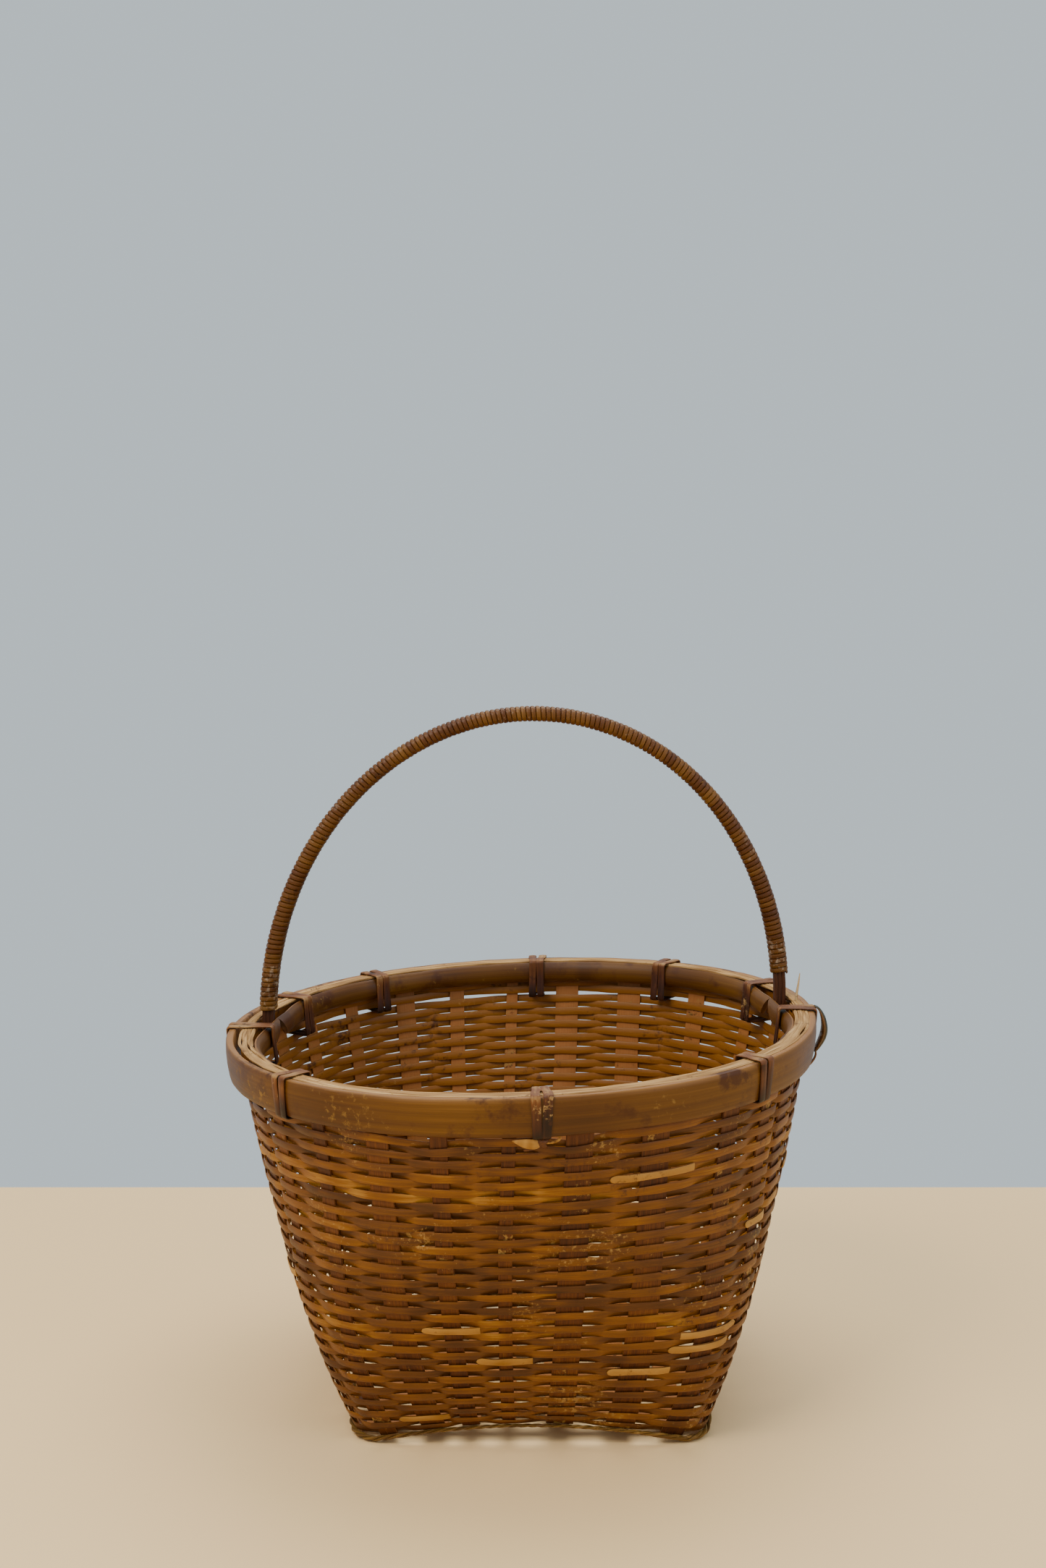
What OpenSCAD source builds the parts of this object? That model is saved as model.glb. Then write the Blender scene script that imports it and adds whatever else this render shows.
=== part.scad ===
// Woven bamboo basket: a square plaited base, four corner feet, a wall that opens to a rounded
// square mouth, a two-hoop rim bound with cane lashings, and a fixed arched handle wound with cane.
// Millimetres, +Z up. The origin is on the surface it stands on, under the middle of the base.
// The front is -Y. Angles are in degrees, from +X towards +Y.

/* [Overall size] */
// Half width of the base, to the middle of the woven wall
base_half = 92; // [76:1:130]
// Half width of the mouth, to the middle of the woven wall
rim_half = 153.5; // [125:0.5:200]
// Height of the rim's top edge above the surface it stands on
rim_h = 204; // [160:1:280]
// Rise of the handle's middle above the rim
handle_rise = 166.5; // [120:0.5:240]
// Distance of the handle's plane behind the middle of the basket
handle_back = 30; // [0:1:60]

/* [Shape of the body] */
// Squareness of the base outline (2 is round)
base_square = 9; // [6:0.5:12]
// Squareness of the mouth outline (2 is round)
rim_square = 2.1; // [2:0.1:4]
// How fast the wall opens out at the bottom (1 is a straight cone)
wall_bow = 1.5; // [1:0.1:2]
// Rise of the middle of each base edge between its corner feet
base_arch = 9.5; // [0:0.5:16]
// How quickly that rise fades out up the wall
arch_fade = 10; // [4:1:14]
// Length of the flat at each corner foot, along each side
foot_len = 11; // [11:0.5:16]
// How much higher the rim is at its right end than in the middle
rim_tilt = 6; // [0:0.5:8]
// Lean of the mouth's outline away from a true square, as a share
rim_skew = 0; // [0:0.005:0.06]
// Shift of the mouth to the left of the base
rim_shift = 3.5; // [0:0.5:10]

/* [Weave] */
// Thickness of a stake splint
stake_t = 1; // [0.8:0.1:1.4]
// Thickness of a weaver band
weaver_t = 1; // [0.6:0.1:1.4]
// Number of weaver bands below the rim
band_count = 9; // [6:1:10]
// Widths of the front-to-back stakes, left to right
fb_widths = [9, 12.5, 9, 7, 14, 15, 12];
// Widths of the left-to-right stakes, front to back
lr_widths = [10, 14, 12, 9, 15, 13, 10];
// Places of the front-to-back stakes on the base, left to right, as shares of base_half
fb_places = [-0.8, -0.53, -0.33, -0.12, 0.16, 0.49, 0.8];
// Places of the left-to-right stakes on the base, front to back, as shares of base_half
lr_places = [-0.85, -0.59, -0.31, -0.02, 0.28, 0.57, 0.84];
// Fan angles of the front and back stake ends at the rim, left to right
fb_fan = [-43, -28.5, -15.6, -2.3, 10.4, 24.8, 43];
// Fan angles of the stake ends at the right of the rim, front to back
right_fan = [-35, -26, -17, -7.5, 5.5, 17, 30];
// Fan angles of the stake ends at the left of the rim, front to back
left_fan = [-33, -23, -14, -5, 9, 22, 34];

/* [Rim] */
// Height of the outer hoop
outer_hoop_h = 20; // [14:0.5:26]
// Thickness of the outer hoop
outer_hoop_t = 4.2; // [3:0.1:6]
// How far the outer hoop stands clear of the weave at its left end
hoop_bow = 3.5; // [0:0.5:6]
// Height of the inner hoop
inner_hoop_h = 12; // [9:0.5:26]
// Thickness of the inner hoop
inner_hoop_t = 3.5; // [2.5:0.1:5]
// Drop of the inner hoop's top edge below the outer one
inner_hoop_drop = 0.5; // [0:0.1:2]
// Width of the channel between the wall and the inner hoop
channel_w = 3; // [2.4:0.1:5]
// Height of the straw filler strips
filler_h = 3.6; // [2.4:0.1:5]
// How far the fillers stand proud of the outer hoop's top
filler_proud = 0.4; // [0:0.1:1]
// Thickness of the lashing cane
cane_t = 1; // [0.6:0.1:1.4]
// Width of the lashing cane
cane_w = 4.6; // [3:0.1:5.6]

/* [Handle] */
// Thickness of each of the three core splints
core_t = 2; // [1.6:0.1:2.6]
// Width of the core splints
core_w = 8; // [6:0.5:10]
// Thickness of the cane winding round the core
wrap_t = 1.15; // [0.9:0.05:2]
// Extra thickness of the winding at the two ends of the handle
wrap_swell = 0.8; // [0:0.1:1.5]
// Height above the rim at which the winding stops on the left
wrap_left = 5; // [4:1:20]
// Height above the rim at which the winding stops on the right
wrap_right = 14; // [10:1:30]

/* [Clearances] */
// Gap between a stake and the weavers that pass it
weave_gap = 0.3; // [0.2:0.05:0.5]
// Gap between stakes that cross on the base
cross_gap = 0.4; // [0.3:0.05:0.8]
// Gap between a hoop and the weave
hoop_gap = 0.4; // [0.3:0.05:0.8]
// Gap between the lashings and what they bind
lash_gap = 0.35; // [0.3:0.05:0.8]
// Gap between one weaver band and the next
band_gap = 0.8; // [0.5:0.1:2]
// Gap between the handle core and its neighbours
core_gap = 0.5; // [0.4:0.05:1]
// Gap between the core splints
splint_gap = 0.15; // [0.1:0.05:0.3]

/* [Hidden] */
stake_lift = 3;                 // height of the stakes' middle plane above the feet's soles
bind_h = 3.2;                   // height of the base binding
bind_t = 2.5;                   // thickness of the base binding
bind_gap = 0.7;                 // gap between the binding and the stakes' turned-up corners
edge_room = 0.4;                // how far a weaver runs on past a stake's edge before it turns
stake_short = 0.3;              // gap between the stakes' top ends and the fillers on them
hoop_steps = 72;                // rings round a hoop
arch_steps = 40;                // rings along the handle
core_spread = 14;               // reach, in degrees, of the bulge that lets a handle leg in
per_side = 7;                   // stakes on each side of the basket
stake_count = 4 * per_side;
flat_from = base_half - foot_len;
weave_off = stake_t / 2 + weave_gap + weaver_t / 2;
weave_half = weave_off + weaver_t / 2;
outer_in = weave_half + hoop_gap;
outer_out = outer_in + outer_hoop_t;
channel_out = -(weave_half + hoop_gap);
inner_out = channel_out - channel_w;
core_total = 3 * core_t + 2 * splint_gap;
core_slant = core_w / 2 * (handle_back / rim_half + abs(rim_skew));
core_bulge = max(0, core_total + 2 * (core_gap + core_slant) - channel_w);
lash_low = max(outer_hoop_h, inner_hoop_drop + inner_hoop_h) + lash_gap;
tuck_t = 1 - (lash_low + cane_t / 2) / rim_h;
tuck_half = cane_t / 2 + lash_gap;
turn_t = stake_lift / rim_h;
low_t = (stake_lift + stake_t + cross_gap + weave_gap) / rim_h;
top_t = 1 - (filler_h - filler_proud + stake_short) / rim_h;
levels = [for (k = [0:band_count]) low_t + (tuck_t - low_t) * k / band_count];
leg_depth = inner_hoop_h - 1;   // how far the handle legs go down between the hoops
loop_cut = 0.6;                 // cut at the top corners of a lashing loop
leg_free = 13;                  // length left free of filler strips, each side of a handle leg
leg_turn = leg_free / rim_half * 180 / PI;
bow_spread = 30;                // reach, in degrees, of the outer hoop's bow at its left end
sole_share = 0.95;              // share of a corner's flat zone that its sole takes up
sole_room = 0.3;                // least room, in degrees, between a sole and the stake beside it
bulge_flat = 1.25;              // how flat the top of the inner hoop's bulge is (1 is pointed)
filler_side = 0.1;              // gap between a filler strip and the faces beside it
filler_inner = 0.3;             // gap between a channel filler and the inner hoop
wrap_gap = 0.2;                 // gap between the core and the winding
wrap_cut = 2.2;                 // cut at the winding's outer corners
wrap_inner_cut = 0.1;           // cut at the winding's inner corners
swell_power = 4;                // how quickly the winding's swelling fades away from the ends
right_leg = asin((handle_back - rim_skew * rim_half) / rim_half);
left_leg = 180 - asin((handle_back + rim_skew * rim_half) / rim_half);

// Lashings: the name of each one's place, and the stake that it follows, going round from the front
LASHINGS = [
    ["front", 3], ["front_right", 6], ["right", 10], ["right_back", 12], ["back_right", 14],
    ["back", 16], ["back_left", 19], ["left_back", 21], ["left", 23], ["front_left", 27]
];

// --- Shape of the woven wall: t runs from 0 at the feet to 1 at the rim's top edge ---

function grow(t) = 1 - pow(1 - t, wall_bow);

function squareness(t) = rim_square + (base_square - rim_square) * pow(1 - t, 3);

function half_at(t) = base_half + (rim_half - base_half) * grow(t);

function reach(a, t, out) =
    let (e = squareness(t), h = half_at(t) + out)
    1 / pow(pow(abs(cos(a)) / h, e) + pow(abs(sin(a)) / h, e), 1 / e);

// Rise of the base surface at a place on it, and of its edge in a direction
function base_rise(x, y) = base_arch * max(0, 1 - pow(x * y / (base_half * flat_from), 2));

function edge_rise(a) =
    let (c = max(abs(cos(a)), abs(sin(a))), s = min(abs(cos(a)), abs(sin(a))))
    base_rise(base_half, base_half * s / c);

// A point in direction a, at height t, out mm outside the middle of the wall
function wall_point(a, t, out) =
    let (r = reach(a, t, out), g = grow(t), x = r * cos(a), y = r * sin(a))
    [
        x + g * (rim_skew * y - rim_shift),
        y + g * rim_skew * x,
        t * rim_h + edge_rise(a) * pow(1 - t, arch_fade) + g * rim_tilt * cos(a)
    ];

// The same at the rim, with its height measured from the rim's top edge
function rim_point(a, out, up) =
    wall_point(a, min(1, 1 + up / rim_h), out) + [0, 0, max(0, up)];

// --- Stakes round the wall, numbered from the front's left corner, going right ---

function side_of(n) = floor((n % stake_count) / per_side);

function place_in(n) = (n % stake_count) % per_side;

// Share of base_half along its own side at which stake n reaches the base's edge
function foot_share(n) =
    let (s = side_of(n), i = place_in(n), j = per_side - 1 - i)
    s == 0 ? fb_places[i] : s == 1 ? lr_places[i] : s == 2 ? -fb_places[j] : -lr_places[j];

function fan_angle(n) =
    let (s = side_of(n), i = place_in(n), j = per_side - 1 - i)
    s == 0 ? fb_fan[i] : s == 1 ? right_fan[i] : s == 2 ? -fb_fan[j] : -left_fan[j];

function stake_width(n) =
    let (s = side_of(n), i = place_in(n), j = per_side - 1 - i)
    s == 0 ? fb_widths[i] : s == 1 ? lr_widths[i] : s == 2 ? fb_widths[j] : lr_widths[j];

function bearing(n, t) =
    90 * (side_of(n) - 1) + atan(foot_share(n)) * (1 - t) + fan_angle(n) * t;

// Half the angle that a width takes up on the wall
function half_angle(a, t, w) = w / 2 / norm(wall_point(a + 0.5, t, 0) - wall_point(a - 0.5, t, 0));

// The bearing of a stake's edge, side -1 or 1, with some room beyond it
function stake_edge(n, t, side, room) =
    let (a = bearing(n, t)) a + side * half_angle(a, t, stake_width(n) + 2 * room);

// Middle of the free gap after stake n, at height t
function gap_after(n, t) =
    let (turn = n + 1 == stake_count ? 360 : 0)
    (stake_edge(n, t, 1, 0) + stake_edge(n + 1, t, -1, 0) + turn) / 2;

// --- Skins over rows of rings ---

// Each ring is a list of corners; going round them and on to the next ring turns clockwise outside
module skin(rings, closed) {
    m = len(rings[0]);
    n = len(rings);
    last = closed ? n - 1 : n - 2;
    halves = [
        for (i = [0:last], j = [0:m - 1])
            let (k = (i + 1) % n, l = (j + 1) % m)
            each [[i * m + j, i * m + l, k * m + l], [i * m + j, k * m + l, k * m + j]]
    ];
    ends = closed ? [] : [[for (j = [m - 1:-1:0]) j], [for (j = [0:m - 1]) (n - 1) * m + j]];
    polyhedron(points = [for (r = rings, p = r) p], faces = concat(halves, ends), convexity = 12);
}

// A tube: an outer and an inner row of rings, joined at both ends
module sleeve(outer, inner) {
    m = len(outer[0]);
    n = len(outer);
    base = n * m;
    walls = [
        for (i = [0:n - 2], j = [0:m - 1])
            let (k = i + 1, l = (j + 1) % m, a = i * m + j, b = i * m + l, c = k * m + l, d = k * m + j)
            each [
                [a, b, c], [a, c, d],
                [base + a, base + c, base + b], [base + a, base + d, base + c]
            ]
    ];
    e = (n - 1) * m;
    ends = [
        for (j = [0:m - 1])
            let (l = (j + 1) % m)
            each [
                [j, base + l, l], [j, base + j, base + l],
                [e + j, e + l, base + e + l], [e + j, base + e + l, base + e + j]
            ]
    ];
    polyhedron(
        points = concat([for (r = outer, p = r) p], [for (r = inner, p = r) p]),
        faces = concat(walls, ends), convexity = 8
    );
}

// --- Stakes ---

function stake_ring_wall(n, t, flip) =
    let (l = stake_edge(n, t, -flip, 0), r = stake_edge(n, t, flip, 0), h = stake_t / 2)
    [wall_point(l, t, h), wall_point(r, t, h), wall_point(r, t, -h), wall_point(l, t, -h)];

// Where the stake turns under: the outer corners drop and the inner corners rise
function stake_ring_turn(n, flip) =
    let (ring = stake_ring_wall(n, turn_t, flip), h = stake_t / 2)
    [for (k = [0:3]) ring[k] + [0, 0, k < 2 ? -h : h]];

function stake_wall(n, flip) = [
    stake_ring_wall(n, top_t, flip),
    for (k = [band_count:-1:0]) stake_ring_wall(n, levels[k], flip),
    stake_ring_turn(n, flip)
];

// On the base: along is the place on the stake's own path, over is 1 where it lies on top
function base_corner(is_fb, side, along, up) =
    let (x = is_fb ? side : along, y = is_fb ? along : side)
    [x, y, stake_lift + base_rise(x, y) + up];

function stake_base(is_fb, j) =
    let (
        own = is_fb ? fb_places[j] : lr_places[j],
        w = is_fb ? fb_widths[j] : lr_widths[j],
        l = own * base_half - w / 2,
        r = own * base_half + w / 2,
        dir = is_fb ? 1 : -1
    )
    [
        for (c = [0:per_side - 1], e = [-1, 1])
            let (
                k = is_fb ? c : per_side - 1 - c,
                place = is_fb ? lr_places[k] : fb_places[k],
                width = is_fb ? lr_widths[k] : fb_widths[k],
                along = place * base_half + dir * e * width / 2,
                over = ((j + k) % 2 == 0 ? 1 : -1) * (is_fb ? 1 : -1),
                mid = over * (stake_t + cross_gap) / 2,
                h = stake_t / 2
            )
            [
                base_corner(is_fb, l, along, mid - h), base_corner(is_fb, r, along, mid - h),
                base_corner(is_fb, r, along, mid + h), base_corner(is_fb, l, along, mid + h)
            ]
    ];

function reversed(list) = [for (k = [len(list) - 1:-1:0]) list[k]];

module stake(is_fb, j) {
    first = is_fb ? j : per_side + j;
    second = is_fb ? 3 * per_side - 1 - j : stake_count - 1 - j;
    skin(concat(stake_wall(first, 1), stake_base(is_fb, j), reversed(stake_wall(second, -1))), false);
}

module stake_fb(j) {
    color("saddlebrown") stake(true, j);
}

module stake_lr(j) {
    color("sienna") stake(false, j);
}

// --- Weavers ---

// A band from t0 to t1 that passes outside every second stake; parity says which
module weaver(t0, t1, parity) {
    skin([
        for (n = [0:stake_count - 1], e = [-1, 1])
            let (
                mid = ((n + parity) % 2 == 0 ? 1 : -1) * weave_off,
                a0 = stake_edge(n, t0, e, edge_room),
                a1 = stake_edge(n, t1, e, edge_room),
                h = weaver_t / 2
            )
            [
                wall_point(a0, t0, mid - h), wall_point(a0, t0, mid + h),
                wall_point(a1, t1, mid + h), wall_point(a1, t1, mid - h)
            ]
    ], true);
}

module weaver_band(k) {
    gap_t = band_gap / 2 / rim_h;
    top_gap = k == band_count ? tuck_half / rim_h : gap_t;
    color("peru") weaver(levels[k - 1] + gap_t, levels[k] - top_gap, k);
}

// The last courses, clamped between the hoops
module weaver_band_rim() {
    color("peru") weaver(tuck_t + tuck_half / rim_h, top_t, band_count + 1);
}

// Bearing at height t of the start (e = 2) or end (e = 3) of the flat sole after corner stake n
function sole_edge(n, t, e) =
    let (
        corner = 90 * floor(n / per_side) - 45,
        flat = (e == 2 ? -1 : 1) * sole_share * (45 - atan(flat_from / base_half)),
        turn = n + 1 == stake_count ? 360 : 0,
        low = stake_edge(n, t, 1, edge_room) + sole_room,
        high = stake_edge(n + 1, t, -1, edge_room) + turn - sole_room
    )
    min(max(corner + flat, low), high);

function bind_edge(n, t, e) = e < 2 ? stake_edge(n, t, e, edge_room) : sole_edge(n, t, e);

// The binding that holds the stakes where they turn up, and that the basket stands on
module base_binding() {
    inside = stake_t / 2 + bind_gap;
    top = bind_h / rim_h;
    color("olive") skin([
        for (n = [0:stake_count - 1], e = [-1, 1, 2, 3])
            if (e < 2 || n % per_side == per_side - 1)
            let (a0 = bind_edge(n, 0, e), a1 = bind_edge(n, top, e))
            [
                wall_point(a0, 0, inside), wall_point(a0, 0, inside + bind_t),
                wall_point(a1, top, inside + bind_t), wall_point(a1, top, inside)
            ]
    ], true);
}

// --- Rim ---

function turn_between(a, b) = let (d = (a - b) % 360) d > 180 ? d - 360 : d < -180 ? d + 360 : d;

function bell(a, middle) = exp(-pow(turn_between(a, middle) / core_spread, 2));

// How far the inner hoop stands further in, to let the handle legs past
function bulge(a) = core_bulge * min(1, bulge_flat * (bell(a, right_leg) + bell(a, left_leg)));

// How far the outer hoop bows outwards
function bow(a) = hoop_bow * exp(-pow(turn_between(a, 180) / bow_spread, 2));

// A strip round the rim from angle a0 to a1, between two offsets and two heights
function rim_ring(a, out0, out1, up0, up1) =
    [rim_point(a, out0, up0), rim_point(a, out1, up0), rim_point(a, out1, up1), rim_point(a, out0, up1)];

// The outer hoop's inner face follows the bow of the weave that it clamps
module rim_outer_hoop() {
    weave_top = (top_t - 1) * rim_h;
    color("tan") skin([
        for (i = [0:hoop_steps - 1])
            let (a = 360 * i / hoop_steps, in = outer_in + bow(a), out = outer_out + bow(a))
            concat(
                rim_ring(a, in, out, -outer_hoop_h, 0),
                [rim_point(a, in, weave_top), rim_point(a, in, -outer_hoop_h / 2)]
            )
    ], true);
}

module rim_inner_hoop() {
    low = -inner_hoop_drop - inner_hoop_h;
    color("burlywood") skin([
        for (i = [0:hoop_steps - 1])
            let (a = 360 * i / hoop_steps, out = inner_out - bulge(a))
            rim_ring(a, out - inner_hoop_t, out, low, -inner_hoop_drop)
    ], true);
}

// The straw strip that covers the ends of the stakes
module rim_filler_top() {
    half = weave_half - filler_side;
    color("wheat") skin([
        for (i = [0:hoop_steps - 1])
            rim_ring(360 * i / hoop_steps, -half, half, filler_proud - filler_h, filler_proud)
    ], true);
}

// The straw strips in the channel, one on each side of the handle legs
module channel_filler(a0, a1) {
    steps = hoop_steps / 2;
    out = channel_out - filler_side;
    in = inner_out + filler_inner;
    skin([
        for (i = [0:steps])
            rim_ring(a0 + (a1 - a0) * i / steps, in, out, filler_proud - filler_h, filler_proud)
    ], false);
}

module rim_filler_front() {
    color("wheat") channel_filler(left_leg + leg_turn, 360 + right_leg - leg_turn);
}

module rim_filler_back() {
    color("wheat") channel_filler(right_leg + leg_turn, left_leg - leg_turn);
}

// --- Lashings: two turns of cane round the whole rim, passed through the weave below it ---

// Corners of a loop round the rim, as offset and height: an upright box with its top corners cut
function loop_corners(in, out, low, top) = [
    [in, low], [in, top - loop_cut], [in + loop_cut, top], [out - loop_cut, top],
    [out, top - loop_cut], [out, low]
];

// One turn of cane from angle a0 to a1
module cane_turn(a0, a1) {
    in = inner_out - max(bulge(a0), bulge(a1)) - inner_hoop_t - lash_gap;
    out = outer_out + max(bow(a0), bow(a1)) + lash_gap;
    top = filler_proud + lash_gap;
    inside = loop_corners(in, out, -lash_low, top);
    outside = loop_corners(in - cane_t, out + cane_t, -lash_low - cane_t, top + cane_t);
    skin([
        for (k = [0:len(inside) - 1])
            let (p = inside[k], q = outside[k])
            [
                rim_point(a0, p[0], p[1]), rim_point(a0, q[0], q[1]),
                rim_point(a1, q[0], q[1]), rim_point(a1, p[0], p[1])
            ]
    ], true);
}

module lashing(k) {
    a = gap_after(LASHINGS[k][1], tuck_t);
    wide = 2 * half_angle(a, 1, cane_w);
    space = half_angle(a, 1, lash_gap);
    color("darkgoldenrod") {
        cane_turn(a - wide - space, a - space);
        cane_turn(a + space, a + wide + space);
    }
}

// The knot and pointed tail of the front lashing, hanging under the outer hoop
module knot_front() {
    ring_r = 2.6;
    ring_d = 2.6;
    lean = 8;
    tail_l = 7.5;
    tail_d = 2;
    tail_slope = 80;
    drop = lash_low + cane_t + ring_r + ring_d;
    a = gap_after(LASHINGS[0][1], tuck_t);
    color("goldenrod") translate(rim_point(a, weave_half + cane_w, -drop)) {
        rotate([90, 0, lean])
            rotate_extrude($fn = 48)
                translate([ring_r, 0]) circle(d = ring_d, $fn = 24);
        translate([-tail_l - ring_d / 2, 0, -ring_d / 4])
            rotate([0, tail_slope, 0]) cylinder(h = tail_l, d = tail_d, $fn = 24);
    }
}

// A splint of bamboo skin that stands out from the right end of the rim
module ear_splint() {
    bend_r = 17;
    bend = 70;
    splint_w = 9;
    splint_t = 1.5;
    stand = 3.5;
    raise = 6;
    drop = lash_low - raise;
    a = gap_after(LASHINGS[2][1], tuck_t);
    at = rim_point(a, outer_out + lash_gap + cane_t + stand, 0);
    color("darkolivegreen") translate(at + [-bend_r, 0, -drop])
        rotate([90, 0, 0]) rotate([0, 0, -bend / 2])
            rotate_extrude(angle = bend, $fn = 96)
                translate([bend_r, -splint_w / 2]) square([splint_t, splint_w]);
}

// A loop of loose cane below it
module ear_cane() {
    loop_r = 5.2;
    loop_w = 2.5;
    loop_turn = 150;
    loop_start = -80;
    inset = 4.4;
    drop = lash_low + loop_r + 2 * cane_t + 0.4;
    a = gap_after(LASHINGS[2][1], tuck_t);
    at = rim_point(a, outer_out - inset, 0);
    color("darkgoldenrod") translate(at - [0, 0, drop])
        rotate([90, 0, 0]) rotate([0, 0, loop_start])
            rotate_extrude(angle = loop_turn, $fn = 64)
                translate([loop_r, -loop_w / 2]) square([cane_t, loop_w]);
}

// --- Handle: three splints one over another, wound with cane, with both ends down in the rim ---

core_mid = channel_out - core_gap - core_slant - core_total / 2; // offset of the legs' middle
right_top = rim_point(right_leg, core_mid, 0);
left_top = rim_point(left_leg, core_mid, 0);
arch_half = (right_top[0] - left_top[0]) / 2;
arch_x = (right_top[0] + left_top[0]) / 2;

// Middle of the handle: u from 0 at the right end of the arch to 180 at the left
function arch_point(u) = [
    arch_x + arch_half * cos(u),
    handle_back,
    rim_h + handle_rise * sin(u) + rim_tilt * cos(u)
];

function arch_out(u) =
    let (d = arch_point(u + 0.5) - arch_point(u - 0.5), n = norm(d))
    [d[2] / n, 0, -d[0] / n];

// A section across the handle: v is outwards in the plane of the arch, y is across it
function section_at(centre, out, shape) = [for (s = shape) centre + s[0] * out + [0, s[1], 0]];

function bar_shape(v0, v1, w) = [[v0, w / 2], [v1, w / 2], [v1, -w / 2], [v0, -w / 2]];

// Lower end of a leg, near the hoops' lower edge, where the leg leans in as the wall does
function leg_section(a, shape) =
    let (top = rim_point(a, core_mid, 0), low = rim_point(a, core_mid, -leg_depth), d = top - low)
    let (n = norm([d[0], 0, d[2]]), out = sign(cos(a)) * [d[2] / n, 0, -d[0] / n])
    section_at([low[0], handle_back, low[2]], out, shape);

module core_splint(layer) {
    v0 = layer * (core_t + splint_gap) - core_t / 2;
    shape = bar_shape(v0, v0 + core_t, core_w);
    skin(concat(
        [leg_section(right_leg, shape)],
        [
            for (i = [0:arch_steps])
                let (u = 180 * i / arch_steps)
                section_at(arch_point(u), arch_out(u), shape)
        ],
        [leg_section(left_leg, shape)]
    ), false);
}

module handle_core_outer() {
    color("saddlebrown") core_splint(1);
}

module handle_core_middle() {
    color("sienna") core_splint(0);
}

module handle_core_inner() {
    color("saddlebrown") core_splint(-1);
}

// An eight-cornered section, like a box with cut corners
function round_shape(v, w, cut) = [
    [-v, -w + cut], [-v, w - cut], [-v + cut, w], [v - cut, w],
    [v, w - cut], [v, -w + cut], [v - cut, -w], [-v + cut, -w]
];

module handle_wrap() {
    u0 = asin(wrap_right / handle_rise);
    u1 = 180 - asin(wrap_left / handle_rise);
    v = core_total / 2 + wrap_gap;
    w = core_w / 2 + wrap_gap;
    at = [for (i = [0:arch_steps]) u0 + (u1 - u0) * i / arch_steps];
    color("chocolate") sleeve(
        [
            for (u = at)
                let (more = wrap_t + wrap_swell * pow(abs(cos(u)), swell_power))
                section_at(arch_point(u), arch_out(u), round_shape(v + more, w + more, wrap_cut))
        ],
        [for (u = at) section_at(arch_point(u), arch_out(u), round_shape(v, w, wrap_inner_cut))]
    );
}

stake_fb(0);  // stake_fb_1
stake_fb(1);  // stake_fb_2
stake_fb(2);  // stake_fb_3
stake_fb(3);  // stake_fb_4
stake_fb(4);  // stake_fb_5
stake_fb(5);  // stake_fb_6
stake_fb(6);  // stake_fb_7
stake_lr(0);  // stake_lr_1
stake_lr(1);  // stake_lr_2
stake_lr(2);  // stake_lr_3
stake_lr(3);  // stake_lr_4
stake_lr(4);  // stake_lr_5
stake_lr(5);  // stake_lr_6
stake_lr(6);  // stake_lr_7
base_binding();
weaver_band(1);  // weaver_band_1
weaver_band(2);  // weaver_band_2
weaver_band(3);  // weaver_band_3
weaver_band(4);  // weaver_band_4
weaver_band(5);  // weaver_band_5
weaver_band(6);  // weaver_band_6
weaver_band(7);  // weaver_band_7
weaver_band(8);  // weaver_band_8
weaver_band(9);  // weaver_band_9
weaver_band_rim();
rim_outer_hoop();
rim_inner_hoop();
rim_filler_top();
rim_filler_front();
rim_filler_back();
lashing(0);  // lashing_front
lashing(1);  // lashing_front_right
lashing(2);  // lashing_right
lashing(3);  // lashing_right_back
lashing(4);  // lashing_back_right
lashing(5);  // lashing_back
lashing(6);  // lashing_back_left
lashing(7);  // lashing_left_back
lashing(8);  // lashing_left
lashing(9);  // lashing_front_left
knot_front();
ear_splint();
ear_cane();
handle_core_outer();
handle_core_middle();
handle_core_inner();
handle_wrap();
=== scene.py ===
import math
import random

import bmesh
import bpy
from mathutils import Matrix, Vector, noise


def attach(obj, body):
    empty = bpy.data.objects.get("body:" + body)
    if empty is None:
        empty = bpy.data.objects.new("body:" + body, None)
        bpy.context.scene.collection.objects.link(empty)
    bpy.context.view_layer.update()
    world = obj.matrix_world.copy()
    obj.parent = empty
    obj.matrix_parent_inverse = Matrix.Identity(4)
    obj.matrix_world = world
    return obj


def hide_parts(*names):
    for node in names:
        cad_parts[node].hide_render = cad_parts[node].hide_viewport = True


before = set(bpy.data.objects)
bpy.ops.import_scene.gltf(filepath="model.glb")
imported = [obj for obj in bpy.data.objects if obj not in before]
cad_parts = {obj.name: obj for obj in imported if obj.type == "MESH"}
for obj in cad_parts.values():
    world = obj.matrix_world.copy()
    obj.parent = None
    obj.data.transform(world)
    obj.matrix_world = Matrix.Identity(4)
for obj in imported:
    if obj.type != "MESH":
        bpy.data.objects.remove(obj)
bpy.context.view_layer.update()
mm = 0.001
print("frame loaded,", len(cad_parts), "nodes")

# The woven wall, in millimetres and degrees: t runs from 0 at the feet to 1 at the rim's top edge
wall = {
    "baseHalf": 92, "rimHalf": 153.5, "height": 204,
    "baseSquare": 9, "rimSquare": 2.1, "bow": 1.5,
    "arch": 9.5, "archFade": 10, "footLength": 11,
    "tilt": 6, "skew": 0, "shift": 3.5,
}


def sinD(angle):
    return math.sin(math.radians(angle))


def cosD(angle):
    return math.cos(math.radians(angle))


def mix(a, b, share):
    return a + (b - a) * share


def drift(angle, turns, seed):
    # smooth noise from -1 to 1 that closes on itself after a full turn
    return noise.noise(Vector((turns * cosD(angle), turns * sinD(angle), 7.3 * seed + 0.5)))


def wander(x, seed):
    return noise.noise(Vector((x, 3.1 * seed + 0.2, 0.7)))


def growth(t):
    return 1 - (1 - t) ** wall["bow"]


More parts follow.
